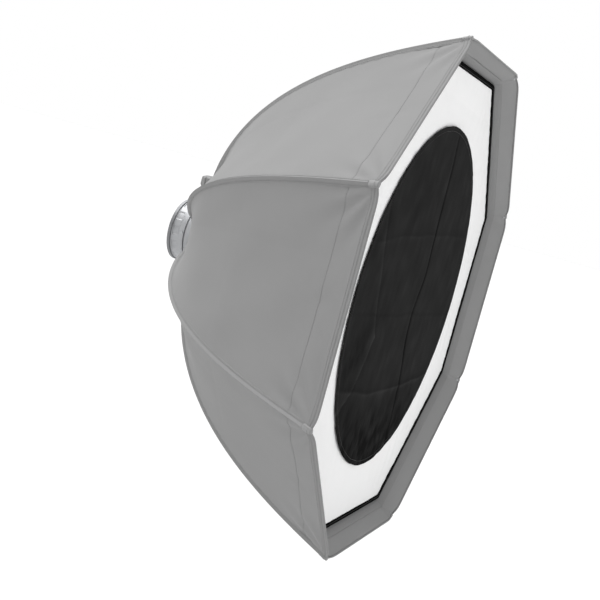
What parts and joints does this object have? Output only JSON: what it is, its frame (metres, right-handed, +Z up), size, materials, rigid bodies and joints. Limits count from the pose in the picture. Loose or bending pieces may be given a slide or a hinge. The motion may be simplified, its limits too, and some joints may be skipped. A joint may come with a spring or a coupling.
{
  "type": "octabox softbox",
  "caption": "Octagonal fabric softbox on a turning speedring, with spring rods, recessed white diffuser, black centre disc, inner baffle and lock knob.",
  "frame": {"origin": "centre of the adapter's rear face, on the axis of its head bore", "axes": "+Y back along the box's axis towards the flash head, -Y the way the light goes, +Z up through the lock knob, X across two flats"},
  "size_m": [0.9, 0.5191, 0.9],
  "materials": {
    "shell_cloth": "matt woven polyester",
    "lip_cloth": "matt woven polyester",
    "pocket_cloth": "matt webbing",
    "diffuser_cloth": "matt white nylon",
    "baffle_cloth": "matt white nylon",
    "disc_cloth": "matt black polyester",
    "binding_tape": "black folded tape",
    "hook_tape": "hook and loop tape",
    "spring_steel": "drawn",
    "ring_metal": "satin anodised",
    "dark_plastic": "moulded",
    "acetal": "turned",
    "grip_rubber": "matt"
  },
  "bodies": {
    "adapter": {"adapter_ring": "ring_metal", "grip_sleeve": "grip_rubber", "retaining_ring": "spring_steel"},
    "softbox": {"speedring_body": "ring_metal", "glide_ring": "acetal", "rear_cuff": "shell_cloth", "rod_socket_1": "dark_plastic", "rod_socket_2": "dark_plastic", "rod_socket_3": "dark_plastic", "rod_socket_4": "dark_plastic", "rod_socket_5": "dark_plastic", "rod_socket_6": "dark_plastic", "rod_socket_7": "dark_plastic", "rod_socket_8": "dark_plastic", "rod_1": "spring_steel", "rod_2": "spring_steel", "rod_3": "spring_steel", "rod_4": "spring_steel", "rod_5": "spring_steel", "rod_6": "spring_steel", "rod_7": "spring_steel", "rod_8": "spring_steel", "rod_sleeve_1": "shell_cloth", "rod_sleeve_2": "shell_cloth", "rod_sleeve_3": "shell_cloth", "rod_sleeve_4": "shell_cloth", "rod_sleeve_5": "shell_cloth", "rod_sleeve_6": "shell_cloth", "rod_sleeve_7": "shell_cloth", "rod_sleeve_8": "shell_cloth", "shell_panel_1": "shell_cloth", "shell_panel_2": "shell_cloth", "shell_panel_3": "shell_cloth", "shell_panel_4": "shell_cloth", "shell_panel_5": "shell_cloth", "shell_panel_6": "shell_cloth", "shell_panel_7": "shell_cloth", "shell_panel_8": "shell_cloth", "corner_pocket_1": "pocket_cloth", "corner_pocket_2": "pocket_cloth", "corner_pocket_3": "pocket_cloth", "corner_pocket_4": "pocket_cloth", "corner_pocket_5": "pocket_cloth", "corner_pocket_6": "pocket_cloth", "corner_pocket_7": "pocket_cloth", "corner_pocket_8": "pocket_cloth", "front_lip": "lip_cloth", "loop_strip": "lip_cloth", "inner_baffle": "baffle_cloth", "baffle_edging": "binding_tape"},
    "knob": {"lock_knob": "dark_plastic", "lock_screw": "spring_steel"},
    "shoe": {"brake_shoe": "acetal"},
    "diffuser": {"front_diffuser": "diffuser_cloth", "diffuser_edging": "binding_tape"},
    "disc": {"centre_disc": "disc_cloth", "disc_pad_1": "hook_tape", "disc_pad_2": "hook_tape", "disc_pad_3": "hook_tape", "disc_pad_4": "hook_tape"}
  },
  "joints": [
    {"name": "box_rotation", "type": "hinge", "parent": "adapter", "child": "softbox", "pos_m": [0, 0, 0], "axis": [0, 1, 0], "continuous": true},
    {"name": "knob_turn", "type": "hinge", "parent": "softbox", "child": "knob", "pos_m": [0, -0.0312, 0], "axis": [0, 0, 1], "range_deg": [0, 360]},
    {"name": "shoe_travel", "type": "slide", "parent": "softbox", "child": "shoe", "axis": [0, 0, 1], "range_m": [0, 0.001]},
    {"name": "diffuser_release", "type": "slide", "parent": "softbox", "child": "diffuser", "axis": [0, -1, 0], "range_m": [0, 0.15]},
    {"name": "disc_release", "type": "slide", "parent": "diffuser", "child": "disc", "axis": [0, -1, 0], "range_m": [0, 0.08]}
  ],
  "couplings": [
    {"joint": "shoe_travel", "follows": "knob_turn", "m_per_rad": 0.000159}
  ]
}
